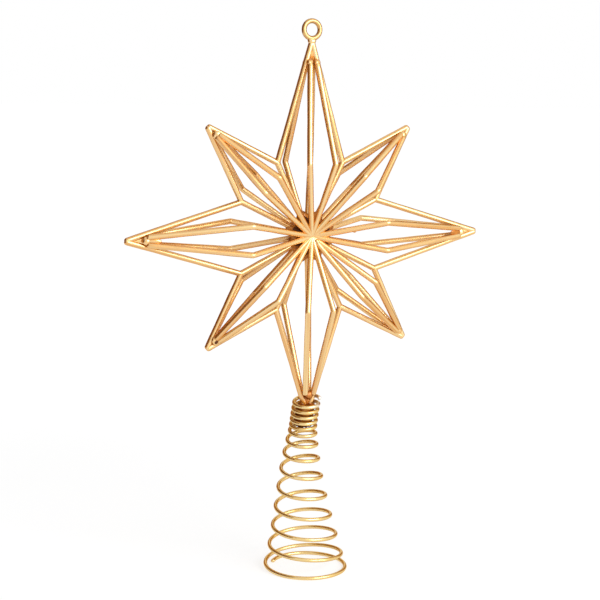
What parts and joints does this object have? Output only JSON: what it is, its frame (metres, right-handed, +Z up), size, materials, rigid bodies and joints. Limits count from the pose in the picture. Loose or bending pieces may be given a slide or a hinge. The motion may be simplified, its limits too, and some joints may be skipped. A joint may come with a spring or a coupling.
{
  "type": "tree topper star",
  "caption": "Wire-frame star tree topper of bent and welded gold rods, with a hanging eye on its top tip and a conical coil foot that slips over the top of a tree",
  "frame": {"origin": "centre of the coil's foot, on the surface it stands on", "axes": "+Z up along the coil's axis, +X to the right of the star seen from its face, +Y to the back"},
  "size_m": [0.21, 0.047, 0.3049],
  "materials": {
    "gold_rods": "metallic gold paint, semi-gloss",
    "gold_coil": "metallic gold paint, semi-gloss"
  },
  "bodies": {
    "coil": {"base_coil": "gold_coil"},
    "star": {"bottom_back_rod_ccw": "gold_rods", "bottom_back_rod_cw": "gold_rods", "bottom_front_rod_ccw": "gold_rods", "bottom_front_rod_cw": "gold_rods", "bottom_outline_rod_ccw": "gold_rods", "bottom_outline_rod_cw": "gold_rods", "bottom_valley_rod": "gold_rods", "hanging_eye": "gold_rods", "left_back_rod_ccw": "gold_rods", "left_back_rod_cw": "gold_rods", "left_front_rod_ccw": "gold_rods", "left_front_rod_cw": "gold_rods", "left_outline_rod_ccw": "gold_rods", "left_outline_rod_cw": "gold_rods", "left_valley_rod": "gold_rods", "lower_left_back_rod_ccw": "gold_rods", "lower_left_back_rod_cw": "gold_rods", "lower_left_front_rod_ccw": "gold_rods", "lower_left_front_rod_cw": "gold_rods", "lower_left_outline_rod_ccw": "gold_rods", "lower_left_outline_rod_cw": "gold_rods", "lower_left_valley_rod": "gold_rods", "lower_right_back_rod_ccw": "gold_rods", "lower_right_back_rod_cw": "gold_rods", "lower_right_front_rod_ccw": "gold_rods", "lower_right_front_rod_cw": "gold_rods", "lower_right_outline_rod_ccw": "gold_rods", "lower_right_outline_rod_cw": "gold_rods", "lower_right_valley_rod": "gold_rods", "right_back_rod_ccw": "gold_rods", "right_back_rod_cw": "gold_rods", "right_front_rod_ccw": "gold_rods", "right_front_rod_cw": "gold_rods", "right_outline_rod_ccw": "gold_rods", "right_outline_rod_cw": "gold_rods", "right_valley_rod": "gold_rods", "top_back_rod_ccw": "gold_rods", "top_back_rod_cw": "gold_rods", "top_front_rod_ccw": "gold_rods", "top_front_rod_cw": "gold_rods", "top_outline_rod_ccw": "gold_rods", "top_outline_rod_cw": "gold_rods", "top_valley_rod": "gold_rods", "upper_left_back_rod_ccw": "gold_rods", "upper_left_back_rod_cw": "gold_rods", "upper_left_front_rod_ccw": "gold_rods", "upper_left_front_rod_cw": "gold_rods", "upper_left_outline_rod_ccw": "gold_rods", "upper_left_outline_rod_cw": "gold_rods", "upper_left_valley_rod": "gold_rods", "upper_right_back_rod_ccw": "gold_rods", "upper_right_back_rod_cw": "gold_rods", "upper_right_front_rod_ccw": "gold_rods", "upper_right_front_rod_cw": "gold_rods", "upper_right_outline_rod_ccw": "gold_rods", "upper_right_outline_rod_cw": "gold_rods", "upper_right_valley_rod": "gold_rods"}
  },
  "joints": [
    {"name": "spring_compression", "type": "slide", "parent": "coil", "child": "star", "axis": [0, 0, 1], "range_m": [-0.03, 0], "stiffness_N_per_m": 570, "springref_m": 0.0045, "deforming": ["base_coil"]}
  ]
}
